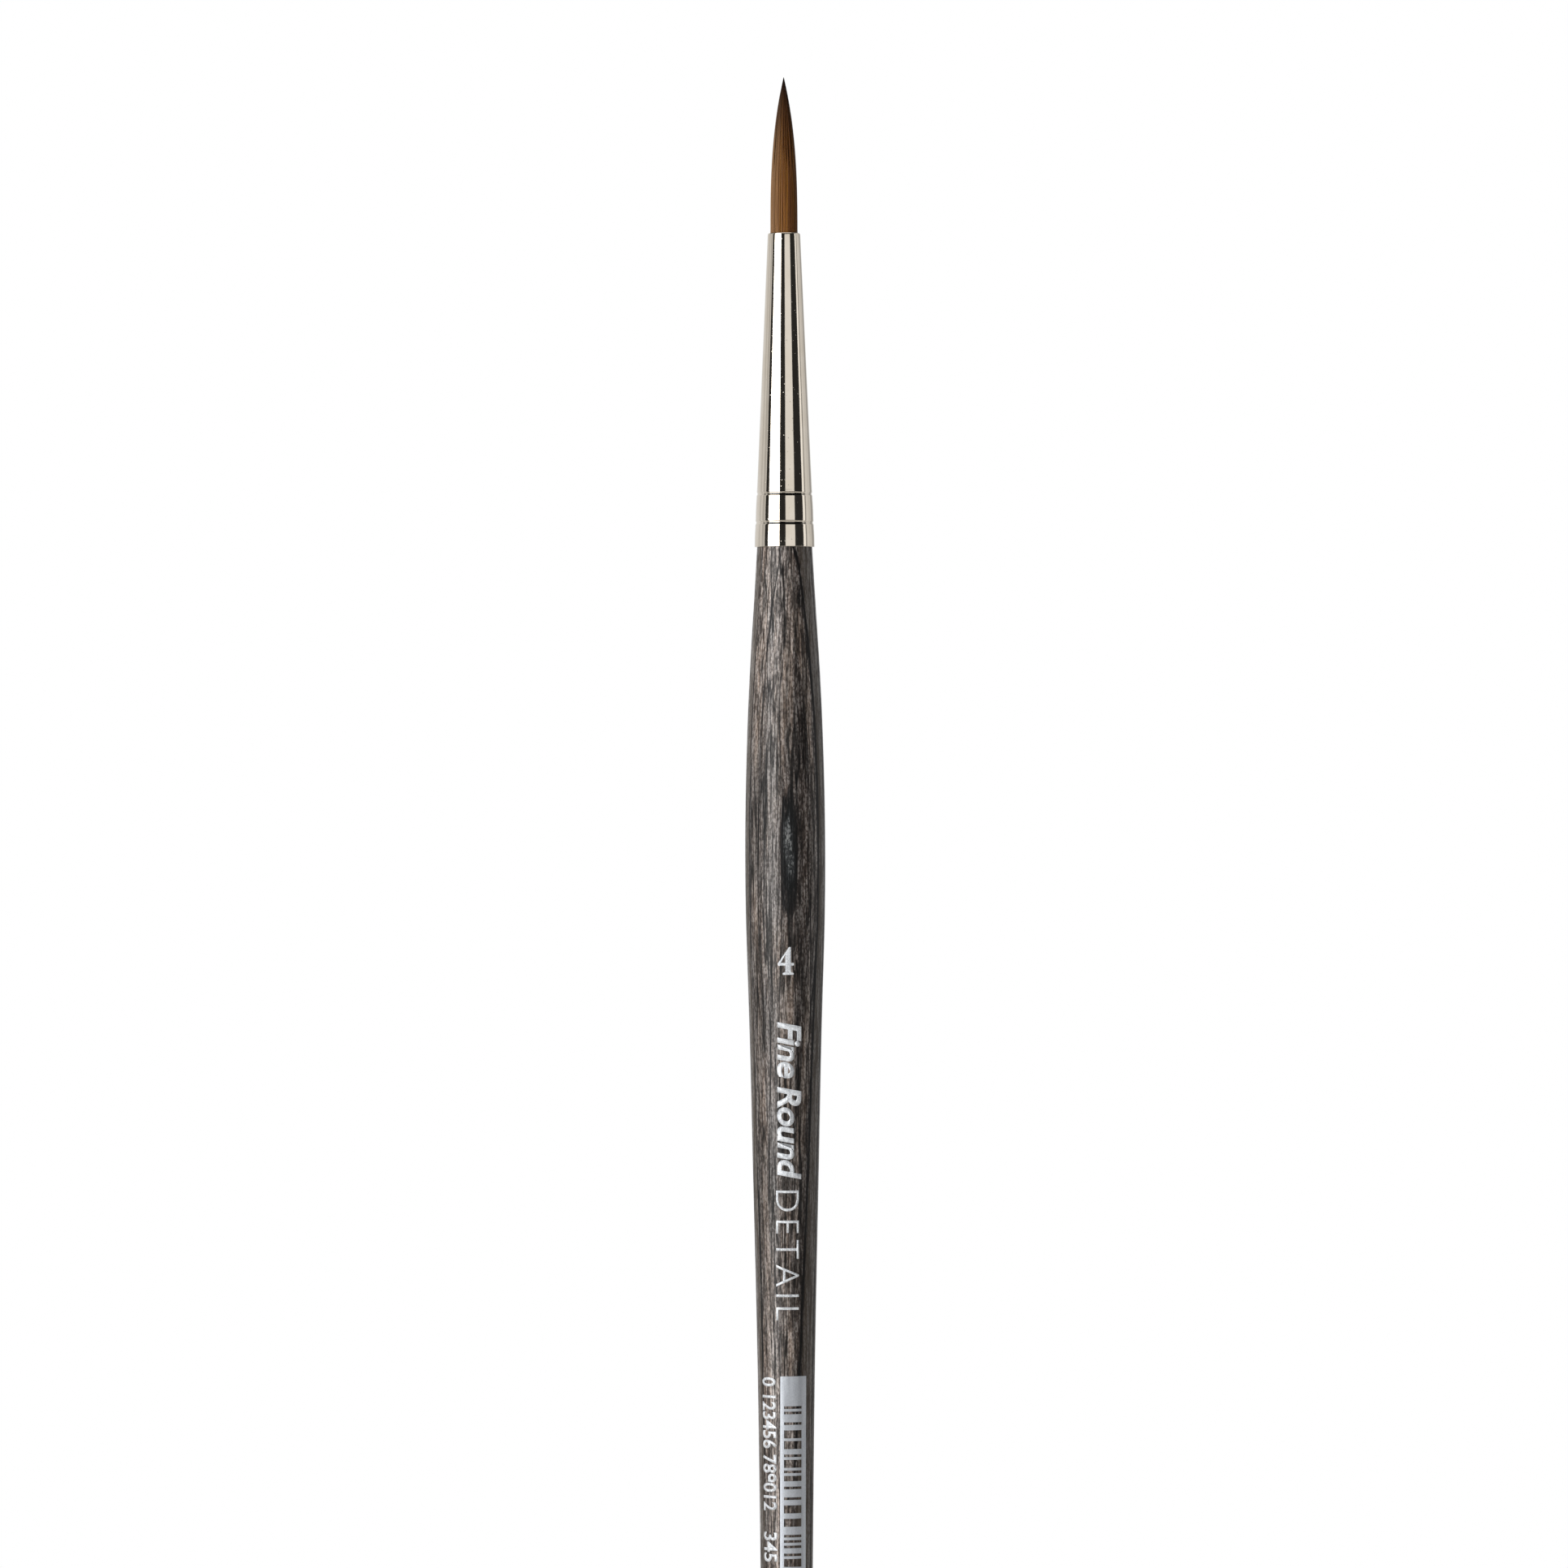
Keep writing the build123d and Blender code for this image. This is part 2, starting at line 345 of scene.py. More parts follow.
# Ferrule: a seamless conical tube of brass, drawn over a mandrel, nickel plated and polished.
# Two narrow crimps, rolled in after the handle's tenon was pushed home, let the wall swell a
# little between them.
FERRULE_MOUTH_RADIUS = 1.60
FERRULE_WALL = 0.20
MOUTH_ROUNDING = 0.15
EDGE_ROUNDING = 0.04
CRIMP_RISES = (2.4, 5.25)  # lower edge up to the middle of each crimp
CRIMP_DEPTH = 0.055
CRIMP_HALF_WIDTH = 0.11
CRIMP_LIP = 0.008  # metal pushed up beside a crimp
CRIMP_LIP_OUT = 0.26
SWELL = 0.03  # how far the wall stands out halfway between two crimps
FACET_SAG = 0.002  # how far the frame's facets lie inside the true round
FERRULE_RING_STEP = 0.4
FERRULE_RING_MARGIN = 0.3  # first and last ring from the tube's ends
CRIMP_RING_STEP = 0.02
CRIMP_REACH = 0.6  # fine rings to each side of a crimp
ROUND_SEGMENTS = 256

ferrule_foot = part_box("ferrule")[0].z / MM
ferrule_length = mouth - ferrule_foot
ferrule_foot_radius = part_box("ferrule")[1].x / MM + FACET_SAG


def ferrule_radius(rise):
    """Outer radius of the ferrule at a height above its lower edge, crimps and swell included."""
    radius = ferrule_foot_radius
    radius += (FERRULE_MOUTH_RADIUS - ferrule_foot_radius) * rise / ferrule_length
    for low, high in zip((0, *CRIMP_RISES), CRIMP_RISES):
        if low < rise < high:
            radius += SWELL * sin(pi * (rise - low) / (high - low))
    for crimp in CRIMP_RISES:
        off = abs(rise - crimp)
        radius -= CRIMP_DEPTH * np.exp(-((off / CRIMP_HALF_WIDTH) ** 2))
        radius += CRIMP_LIP * np.exp(-(((off - CRIMP_LIP_OUT) / CRIMP_HALF_WIDTH) ** 2))
    return float(radius)


def arc(radius, height, rounding, start, end, steps=8):
    """Outline points of a rounded edge about a centre, from one angle to another in degrees."""
    turns = [radians(start + (end - start) * i / steps) for i in range(steps + 1)]
    return [(radius + rounding * cos(t), height + rounding * sin(t)) for t in turns]


def turned(outline, segments, closed):
    """Points and faces of a turned shape. A closed outline is a tube's wall, and an open one
    starts and ends on the axis."""
    points, faces, rows = [], [], []
    for radius, height in outline:
        count = segments if radius > 0 else 1
        rows.append(range(len(points), len(points) + count))
        for i in range(count):
            angle = 2 * pi * i / segments
            points.append((radius * cos(angle), radius * sin(angle), height))
    pairs = list(zip(rows, rows[1:])) + ([(rows[-1], rows[0])] if closed else [])
    for below, above in pairs:
        for i in range(segments):
            j = (i + 1) % segments
            corners = [below[i % len(below)], below[j % len(below)]]
            corners += [above[j % len(above)], above[i % len(above)]]
            faces.append(tuple(dict.fromkeys(corners)))
    return points, faces


coarse = np.arange(FERRULE_RING_MARGIN, ferrule_length - FERRULE_RING_MARGIN, FERRULE_RING_STEP)
beside = np.arange(-CRIMP_REACH, CRIMP_REACH + CRIMP_RING_STEP / 2, CRIMP_RING_STEP)
fine = [crimp + off for crimp in CRIMP_RISES for off in beside]
rises = sorted({round(float(rise), 3) for rise in (*coarse, *fine)})
outside = [(ferrule_radius(rise), ferrule_foot + rise) for rise in rises]
inside = [(radius - FERRULE_WALL, height) for radius, height in outside]
foot_out = (ferrule_radius(0) - EDGE_ROUNDING, ferrule_foot + EDGE_ROUNDING)
foot_in = (ferrule_radius(0) - FERRULE_WALL + EDGE_ROUNDING, ferrule_foot + EDGE_ROUNDING)
mouth_out = (FERRULE_MOUTH_RADIUS - MOUTH_ROUNDING, mouth - MOUTH_ROUNDING)
mouth_in = (FERRULE_MOUTH_RADIUS - FERRULE_WALL + EDGE_ROUNDING, mouth - EDGE_ROUNDING)
outline = arc(*foot_out, EDGE_ROUNDING, -90, 0) + outside
outline += arc(*mouth_out, MOUTH_ROUNDING, 0, 90) + arc(*mouth_in, EDGE_ROUNDING, 90, 180)
outline += inside[::-1] + arc(*foot_in, EDGE_ROUNDING, 180, 270)

# Bright nickel plate on drawn, polished brass: a warm mirror with faint drawing lines along the
# tube, a slow waviness that bends the reflections, and a few specks and fine rubs. Real drawing
# lines are finer than 0.05 mm: these are drawn coarser, so that they show.
DRAWING_LINES = (4, 4, 0.10)  # per mm across, across and along the tube
WAVES = (0.5, 0.5, 0.35)
SPECKS_PER_MM = 2.2
RUBS_PER_MM = 0.5

nickel_finish, tree = new_material("nickel_plate_on_drawn_brass_polished")
place = add(tree, "TexCoord").outputs["Object"]
lines = {0: place, 1: [cells / MM for cells in DRAWING_LINES]}
lines = add(tree, "VectorMath", lines, operation="MULTIPLY")
drawing = add(tree, "TexNoise", {"Vector": lines, "Scale": 1.0, "Detail": 3.0})
slow = {0: place, 1: [cells / MM for cells in WAVES]}
slow = add(tree, "VectorMath", slow, operation="MULTIPLY")
wavy = add(tree, "TexNoise", {"Vector": slow, "Scale": 1.0, "Detail": 1.0})
dust = add(tree, "TexVoronoi", {"Vector": place, "Scale": SPECKS_PER_MM / MM, "Randomness": 1.0})
speck = add(tree, "MapRange", {"Value": dust, "From Min": 0.02, "From Max": 0.09})
height = add(tree, "Math", {0: wavy, 1: 6.0, 2: drawing}, operation="MULTIPLY_ADD")
height = add(tree, "Math", {0: speck, 1: 6.0, 2: height}, operation="MULTIPLY_ADD")
bump = add(tree, "Bump", {"Height": height, "Strength": 1.0, "Distance": 0.0012 * MM})
smudge = add(tree, "TexNoise", {"Vector": place, "Scale": RUBS_PER_MM / MM, "Detail": 6.0})
gloss = add(tree, "MapRange", {"Value": smudge, "To Min": 0.03, "To Max": 0.11})
colour = add(tree, "ValToRGB", {"Fac": smudge}, ((0.3, "#D0C6B7"), (0.7, "#D8CFC2")))
settings = {"Base Color": colour, "Metallic": 1.0, "Roughness": gloss, "Normal": bump}
shader = add(tree, "BsdfPrincipled", settings)
add(tree, "OutputMaterial", {"Surface": shader})

points, faces = turned(outline, ROUND_SEGMENTS, closed=True)
ferrule = new_piece("ferrule_tube", points, faces, nickel_finish)
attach(ferrule, "brush")
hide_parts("ferrule")

# Handle: a straight-grained hardwood blank, turned to a long belly, stained anthracite and
# lacquered. Its tenon goes up into the ferrule. The outline is the frame's own.
TAIL_ROUNDING = 2.2  # height of the domed tail end
DOME_STEPS = 24
OUTLINE_SPACING = 3.0  # mm from one height at which the frame's outline is read to the next
TENON_SPACING = 0.05  # and the same in the tenon, for its crimps
TENON_FOOT = 0.1  # mm above the ferrule's lower edge
HANDLE_RING_STEP = 0.8
HANDLE_EDGE = 50  # degrees from which an edge is shaded sharp


def read_outline(node, low, high, spacing):
    """Heights and outer radii of a round node between two heights, in mm."""
    points = [vertex.co / MM for vertex in frame["nodes"][node].data.vertices]
    heights, radii = [], []
    for point in sorted(points, key=lambda point: (round(point.z, 3), -point.xy.length)):
        apart = not heights or point.z - heights[-1] >= spacing
        if low - 1e-3 <= point.z <= high + 1e-3 and apart:
            heights.append(point.z)
            radii.append(point.xy.length)
    return heights, radii


wood_heights, wood_radii = read_outline("handle", TAIL_ROUNDING, ferrule_foot, OUTLINE_SPACING)
wood_slopes = np.gradient(wood_radii, wood_heights)


def wood_radius(height):
    """Outer radius of the handle between its domed tail end and the ferrule."""
    i = int(np.clip(np.searchsorted(wood_heights, height) - 1, 0, len(wood_heights) - 2))
    span = wood_heights[i + 1] - wood_heights[i]
    t = (height - wood_heights[i]) / span
    low = (1 + 2 * t) * (1 - t) ** 2 * wood_radii[i] + t * (1 - t) ** 2 * span * wood_slopes[i]
    high = (3 - 2 * t) * t**2 * wood_radii[i + 1] - (1 - t) * t**2 * span * wood_slopes[i + 1]
    return float(low + high)


tenon_foot = ferrule_foot + TENON_FOOT
tenon_heights, tenon_radii = read_outline("handle", tenon_foot, mouth, TENON_SPACING)
dome = [pi / 2 * i / DOME_STEPS for i in range(1, DOME_STEPS)]
tail_radius = wood_radius(TAIL_ROUNDING)
outline = [(0, 0)] + [(tail_radius * sin(t), TAIL_ROUNDING * (1 - cos(t))) for t in dome]
count = round((ferrule_foot - TAIL_ROUNDING) / HANDLE_RING_STEP)
heights = [TAIL_ROUNDING + (ferrule_foot - TAIL_ROUNDING) * i / count for i in range(count + 1)]
outline += [(wood_radius(height), height) for height in heights]
outline += list(zip(tenon_radii, tenon_heights))
outline.append((0, tenon_heights[-1]))

# Anthracite-stained hardwood under satin lacquer: brown-grey fibres with lighter and darker
# streaks, dark late wood where the turning cut through a growth layer, fine dark veins along
# the grain, and a lacquer that follows the fibres, so its shine breaks up into grains. The
# fibres and grains are drawn two to three times as coarse as real ones, so that they show.
GRAIN_LEAN = 6.5  # degrees by which the growth layers face to the right of the front
LAYER = 1.25  # mm from one growth layer to the next
LATE_WOOD = 3.875  # mm from the axis to the outermost late wood
LAYER_LINE = 0.07  # half the width of the line that a layer shows on the surface
LAYER_BEND = 0.30  # mm by which a layer bends in and out along the handle
LAYER_RAGGED = 0.10  # mm by which its edge is ragged
USUAL_RADIUS = 3.4  # mm, for how steeply a layer meets the surface
LEAST_STEEP = 0.15
RIGHT_SIDE = (0.2, 0.6)  # mm right of the layers' middle over which the right side begins
FRONT_SIDE = (0.2, 0.6)  # mm in front of the axis over which the front begins
SHADOW_LEFT = (-0.30, 0.0, 0.0, 0.45)  # mm from a layer to where its shadow starts and is full,
SHADOW_RIGHT = (0.50, 0.10, 0.0, 0.85)  # and its strength at both
EDGE_SHEEN_IN = (-0.16, -0.05)  # mm inside a layer over which the painted edge sheen ends
VEIN_WIDTH = 0.08
NECK_HIGHLIGHT = (-18, -9, 1.55)  # mm from the ferrule: where the painted highlight starts and is full, and how pale it makes the stain
TAPER_HIGHLIGHT = (-79, -62, 0.7)  # mm from the ferrule: where the painted highlight on the left is full and ends, and how pale it makes the stain

# Noises in cells per mm across the grain and along it, with their detail: a fibre is drawn
# 0.18 mm wide and 2.2 mm long, and a grain 0.15 mm wide and 0.33 mm long.
FIBRES = (5.5, 0.45, 3.0)
GRAINS = (6.5, 3.0, 2.0)
STREAKS = (1.7, 0.07, 4.0)
TINT_PATCHES = (0.9, 0.10, 3.0)
LINE_FADES = (0.5, 0.05, 1.0)
BENDS = (0.22, 0.02, 1.0)
RAGS = (3.0, 0.2, 2.0)
VEIN_DETAIL = 2.0
NARROW_VEINS = (2.4, 0.03, 0.7)  # cells across and along, and how dark they are
WIDE_VEINS = (0.9, 0.02, 0.85)

wood_finish, tree = new_material("hardwood_turned_stained_and_lacquered")
place = add(tree, "TexCoord").outputs["Object"]
place = add(tree, "VectorMath", {0: place, "Scale": 1 / MM}, operation="SCALE")


def grain(across, along, detail):
    """Noise drawn out along the grain, at so many cells per mm across and along it."""
    cells = {0: place, 1: (across, across, along)}
    cells = add(tree, "VectorMath", cells, operation="MULTIPLY")
    return add(tree, "TexNoise", {"Vector": cells, "Scale": 1.0, "Detail": detail})


def spread(value, low, high, at_low, at_high):
    """A value's range from low to high, spread smoothly over another range."""
    ends = {"Value": value, "From Min": low, "From Max": high, "To Min": at_low, "To Max": at_high}
    return add(tree, "MapRange", ends, interpolation_type="SMOOTHSTEP")


def vein(across, along, strength):
    """Thin dark lines along the grain, as a factor for the colour."""
    off = grain(across, along, VEIN_DETAIL)
    off = add(tree, "Math", {0: off, 1: 0.5}, operation="SUBTRACT")
    off = add(tree, "Math", {0: off}, operation="ABSOLUTE")
    reach = VEIN_WIDTH * across / 4
    return spread(off, reach * 0.4, reach * 1.4, 1 - strength, 1.0)


# Depth is measured along the direction that the growth layers face, and aside across it.
lean = radians(GRAIN_LEAN)
bend = add(tree, "Math", {0: grain(*BENDS), 1: 0.5}, operation="SUBTRACT")
ragged = add(tree, "Math", {0: grain(*RAGS), 1: 0.5}, operation="SUBTRACT")
depth = {0: place, 1: (sin(lean), -cos(lean), 0)}
depth = add(tree, "VectorMath", depth, operation="DOT_PRODUCT").outputs["Value"]
depth = add(tree, "Math", {0: bend, 1: LAYER_BEND, 2: depth}, operation="MULTIPLY_ADD")
depth = add(tree, "Math", {0: ragged, 1: LAYER_RAGGED, 2: depth}, operation="MULTIPLY_ADD")
aside = {0: place, 1: (cos(lean), sin(lean), 0)}
aside = add(tree, "VectorMath", aside, operation="DOT_PRODUCT").outputs["Value"]
right = spread(aside, *RIGHT_SIDE, 0.0, 1.0)
left = add(tree, "Math", {0: 1.0, 1: right}, operation="SUBTRACT")
aside = add(tree, "Math", {0: aside}, operation="ABSOLUTE")

# How far the nearest layer is, measured on the surface: a layer that is cut at a low angle
# would show as a broad band, but stain gathers in it as a line of even width.
nearest = {0: depth, 1: LATE_WOOD - LAYER / 2}
nearest = add(tree, "Math", nearest, operation="SUBTRACT")
nearest = add(tree, "Math", {0: nearest, 1: LAYER}, operation="FLOORED_MODULO")
nearest = add(tree, "Math", {0: nearest, 1: LAYER / 2}, operation="SUBTRACT")
steep = add(tree, "Math", {0: aside, 1: 1 / USUAL_RADIUS}, operation="MULTIPLY")
steep = add(tree, "Math", {0: steep, 1: LEAST_STEEP}, operation="MAXIMUM")
beside = add(tree, "Math", {0: nearest, 1: steep}, operation="DIVIDE")
beside = add(tree, "Math", {0: beside}, operation="ABSOLUTE")
fade = spread(grain(*LINE_FADES), 0.35, 0.55, 0.4, 1.0)
fade = add(tree, "Math", {0: fade, 1: right}, operation="MAXIMUM")
wide = add(tree, "Math", {0: right, 1: 0.7, 2: 1.0}, operation="MULTIPLY_ADD")
beside = add(tree, "Math", {0: beside, 1: wide}, operation="DIVIDE")
line = spread(beside, LAYER_LINE * 0.5, LAYER_LINE * 2, 1.0, 0.0)
line = add(tree, "Math", {0: line, 1: fade}, operation="MULTIPLY")
before = spread(nearest, *SHADOW_LEFT)
before = add(tree, "Math", {0: before, 1: left}, operation="MULTIPLY")
behind = spread(nearest, *SHADOW_RIGHT)
behind = add(tree, "Math", {0: behind, 1: right}, operation="MULTIPLY")
shadow = add(tree, "Math", {0: before, 1: behind}, operation="MAXIMUM")


def past_layer(number, start, full, at_start=0.0, at_full=1.0):
    """A factor that changes between two depths in mm from a layer, counted from outside."""
    layer = LATE_WOOD - number * LAYER
    return spread(depth, layer + start, layer + full, at_start, at_full)


# The eye: the belly's widest place just cuts the outermost layer, and shows it as a dark spot
# with a grained heart and a brown fringe.
eye = past_layer(0, -0.01, 0.03)
heart = past_layer(0, 0.028, 0.06)
fringe = past_layer(0, -0.09, 0.0, at_full=0.8)

# Towards both sides an even colour, a painted sheen, hides the grain: from the second layer on the
# right, the third on the left.
second = past_layer(1, *EDGE_SHEEN_IN, 1.0, 0.0)
second = add(tree, "Math", {0: second, 1: right}, operation="MULTIPLY")
third = past_layer(2, *EDGE_SHEEN_IN, 1.0, 0.0)
edge_sheen = add(tree, "Math", {0: second, 1: third}, operation="MAXIMUM")
front = spread(depth, *FRONT_SIDE, 0.0, 1.0)
edge_sheen = add(tree, "Math", {0: edge_sheen, 1: front}, operation="MULTIPLY")

# Stain: grey and brown early wood, tinted in slow patches, then fibres, grains and veins. A
# painted highlight makes it paler in the neck under the ferrule, and on the left of the taper
# towards the tail.
fibre = grain(*FIBRES)
speck = grain(*GRAINS)
tints = ((0.36, "#625A55"), (0.48, "#665B53"), (0.58, "#67584D"), (0.66, "#615954"))
stain = add(tree, "ValToRGB", {"Fac": grain(*TINT_PATCHES)}, tints)
stain = add(tree, "MixRGB", {"Fac": fringe, "Color1": stain, "Color2": "#2E2019"})
stain = add(tree, "MixRGB", {"Fac": shadow, "Color1": stain, "Color2": "#2B211C"})
height = add(tree, "SeparateXYZ", {"Vector": place}).outputs["Z"]
start, full, painted_highlight = NECK_HIGHLIGHT
neck_highlight = spread(height, ferrule_foot + start, ferrule_foot + full, 1.0, painted_highlight)
full, end, painted_highlight = TAPER_HIGHLIGHT
taper = spread(height, ferrule_foot + full, ferrule_foot + end, painted_highlight, 0.0)
taper = add(tree, "Math", {0: taper, 1: left, 2: 1.0}, operation="MULTIPLY_ADD")
# ends: the painted highlight of the neck and of the taper's left side, as one factor
ends = add(tree, "Math", {0: neck_highlight, 1: taper}, operation="MULTIPLY")
broad = spread(grain(*STREAKS), 0.36, 0.64, 0.7, 1.3)
fibres = spread(fibre, 0.34, 0.62, 0.35, 1.45)
specks = spread(speck, 0.36, 0.64, 0.55, 1.45)
veins = [vein(*NARROW_VEINS), vein(*WIDE_VEINS)]
for factor in (fibres, specks):
    stain = add(tree, "VectorMath", {0: stain, "Scale": factor}, operation="SCALE")
coat = add(tree, "Math", {0: fibres, 1: specks}, operation="MULTIPLY")
pale = spread(coat, 0.9, 2.0, 0.0, 0.55)
stain = add(tree, "MixRGB", {"Fac": pale, "Color1": stain, "Color2": "#7E7A77"})
# The painted highlight (ends) lightens the stain here, along with the streaks and veins.
for factor in (ends, broad, *veins):
    stain = add(tree, "VectorMath", {0: stain, "Scale": factor}, operation="SCALE")
# Painted sheen: an even dark brown over the grain at both sides, where the lacquer reflects at a
# grazing angle.
edge_sheen_share = add(tree, "Math", {0: edge_sheen, 1: 0.8}, operation="MULTIPLY")
stain = add(tree, "MixRGB", {"Fac": edge_sheen_share, "Color1": stain, "Color2": "#40372E"})
stain = add(tree, "MixRGB", {"Fac": line, "Color1": stain, "Color2": "#0A0808"})
inner = add(tree, "Math", {0: specks, 1: heart}, operation="MULTIPLY")
inner = add(tree, "Math", {0: inner, 1: 0.65}, operation="MULTIPLY")
burnt = ((0.2, "#08090A"), (0.5, "#232526"), (0.65, "#3E4041"), (0.9, "#6A6B6A"))
burnt = add(tree, "ValToRGB", {"Fac": inner}, burnt)
stain = add(tree, "MixRGB", {"Fac": eye, "Color1": stain, "Color2": burnt})

# Lacquer: it follows the fibres and grains, and lies thin in veins, lines and the eye's rim.
relief = add(tree, "Math", {0: fibre, 1: 1.3, 2: speck}, operation="MULTIPLY_ADD")
bump = add(tree, "Bump", {"Height": relief, "Strength": 1.0, "Distance": 0.05 * MM})
coat_bump = add(tree, "Bump", {"Height": relief, "Strength": 1.0, "Distance": 0.03 * MM})
for factor in veins:
    coat = add(tree, "Math", {0: coat, 1: factor}, operation="MULTIPLY")
rim = add(tree, "Math", {0: eye, 1: heart}, operation="SUBTRACT")
bare = add(tree, "Math", {0: line, 1: rim}, operation="MAXIMUM")
bare = add(tree, "Math", {0: 1.0, 1: bare}, operation="SUBTRACT")
coat = add(tree, "Math", {0: coat, 1: bare}, operation="MULTIPLY")
coat = add(tree, "Math", {0: coat, 1: ends}, operation="MULTIPLY")
coat = add(tree, "MapRange", {"Value": coat, "From Max": 1.3, "To Min": 0.12})
settings = {"Base Color": stain, "Roughness": 0.55, "IOR": 1.5, "Normal": bump}
settings |= {"Specular IOR Level": 0.12, "Coat Weight": coat}
settings |= {"Coat Roughness": 0.30, "Coat Normal": coat_bump}
shader = add(tree, "BsdfPrincipled", settings)
add(tree, "OutputMaterial", {"Surface": shader})

points, faces = turned(outline, ROUND_SEGMENTS, closed=False)
handle = new_piece("handle_turned", points, faces, wood_finish, HANDLE_EDGE)
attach(handle, "brush")
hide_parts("handle")

# Glue: a film of two-part adhesive between the tenon and the ferrule, squeezed out evenly as
# the tenon went in. It is a cloudy amber with trapped air.
CLOUDS_PER_MM = 0.8

glue_finish, tree = new_material("epoxy_adhesive_squeezed_film")
place = add(tree, "TexCoord").outputs["Object"]
cloud = add(tree, "TexNoise", {"Vector": place, "Scale": CLOUDS_PER_MM / MM, "Detail": 5.0})
colour = add(tree, "ValToRGB", {"Fac": cloud}, ((0.3, "#A9843C"), (0.7, "#D8BE83")))
bump = add(tree, "Bump", {"Height": cloud, "Strength": 0.5, "Distance": 0.02 * MM})
gloss = add(tree, "MapRange", {"Value": cloud, "To Min": 0.25, "To Max": 0.5})
settings = {"Base Color": colour, "Roughness": gloss, "IOR": 1.55, "Normal": bump}
shader = add(tree, "BsdfPrincipled", settings)
add(tree, "OutputMaterial", {"Surface": shader})
refinish("handle_adhesive", glue_finish)

# Printing: silver pad-printing ink on the lacquer, a size number, two plain words and a generic
# bar code with its digits. Each print is a thin closed skin of ink wrapped round the handle.
INK_SUNK = 0.010  # mm that a print's back lies in the lacquer
INK_PROUD = 0.014  # mm that its face stands proud of the handle
INK_STRIP = 0.15  # mm across between the cuts that let a print follow the round
NUMBER_OUTLINE = (
    (1.13, 2.80), (1.33, 2.80), (1.33, 1.20), (1.64, 1.20), (1.64, 0.93), (1.33, 0.93),
    (1.33, 0.28), (1.62, 0.18), (1.60, 0.0), (0.50, 0.0), (0.50, 0.18), (0.77, 0.28),
    (0.77, 0.93), (0.05, 0.93), (0.0, 1.12),
)
NUMBER_HOLE = ((0.77, 1.20), (0.77, 2.05), (0.30, 1.20))

# Silver ink, pad printed: aluminium flake in a clear binder, so it is brightest towards the
# light and greyer away from it, a little thin and grainy where it lies over open grain. Real
# flakes are about 0.02 mm: these are drawn coarser, so that they show.
FLAKES_PER_MM = 9
INK_WEAR = (3, 3, 0.4)  # worn patches per mm across, across and along the grain


def silver_ink(name, thinnest, fullest, metallic, flake_depth):
    """A silver ink's material, with its colours where it is thin and where it is full."""
    finish, tree = new_material(name)
    place = add(tree, "TexCoord").outputs["Object"]
    flakes = add(tree, "TexNoise", {"Vector": place, "Scale": FLAKES_PER_MM / MM, "Detail": 3.0})
    drawn = {0: place, 1: [patches / MM for patches in INK_WEAR]}
    drawn = add(tree, "VectorMath", drawn, operation="MULTIPLY")
    worn = add(tree, "TexNoise", {"Vector": drawn, "Scale": 1.0, "Detail": 4.0})
    cover = add(tree, "Math", {0: flakes, 1: worn}, operation="ADD")
    cover = add(tree, "MapRange", {"Value": cover, "From Min": 0.75, "From Max": 1.2})
    colour = add(tree, "ValToRGB", {"Fac": cover}, ((0.0, thinnest), (1.0, fullest)))
    bump = {"Height": flakes, "Strength": 1.0, "Distance": flake_depth * MM}
    bump = add(tree, "Bump", bump)
    gloss = add(tree, "MapRange", {"Value": worn, "To Min": 0.38, "To Max": 0.55})
    settings = {"Base Color": colour, "Metallic": metallic, "Roughness": gloss, "Normal": bump}
    shader = add(tree, "BsdfPrincipled", settings)
    add(tree, "OutputMaterial", {"Surface": shader})
    return finish


# The panel's ink has more flake and less binder: a smoother, greyer metal than the letters'.
letter_ink = silver_ink("silver_ink_pad_printed", "#B2B5BA", "#F0F3F6", 0.35, 0.003)
panel_ink = silver_ink("silver_ink_pad_printed_in_a_panel", "#B0B4BB", "#C4C8CE", 0.75, 0.002)


def flat_mesh(curve):
    """A curve or text, filled, as a bmesh."""
    shape = bpy.data.objects.new("flat", curve)
    bpy.context.scene.collection.objects.link(shape)
    bpy.context.view_layer.update()
    mesh = bpy.data.meshes.new_from_object(shape)
    bpy.data.objects.remove(shape)
    flat = bmesh.new()
    flat.from_mesh(mesh)
    bpy.data.meshes.remove(mesh)
    bmesh.ops.remove_doubles(flat, verts=flat.verts, dist=0.002)
    return flat


def flat_outline(*loops):
    """Closed loops of points, filled, with holes where one lies in another."""
    curve = bpy.data.curves.new("outline", "CURVE")
    curve.dimensions = "2D"
    curve.fill_mode = "FRONT"
    for loop in loops:
        spline = curve.splines.new("POLY")
        spline.points.add(len(loop) - 1)
        for point, (x, y) in zip(spline.points, loop):
            point.co = (x, y, 0, 1)
        spline.use_cyclic_u = True
    return flat_mesh(curve)


def flat_words(words, bold=0.0, lean=0.0, spacing=1.0):
    """A line of text, turned to read downwards."""
    curve = bpy.data.curves.new("words", "FONT")
    curve.body = words
    curve.offset = bold
    curve.shear = lean
    curve.space_character = spacing
    curve.resolution_u = 6
    curve.fill_mode = "FRONT"
    flat = flat_mesh(curve)
    for vert in flat.verts:
        vert.co = (vert.co.y, -vert.co.x, 0)
    return flat


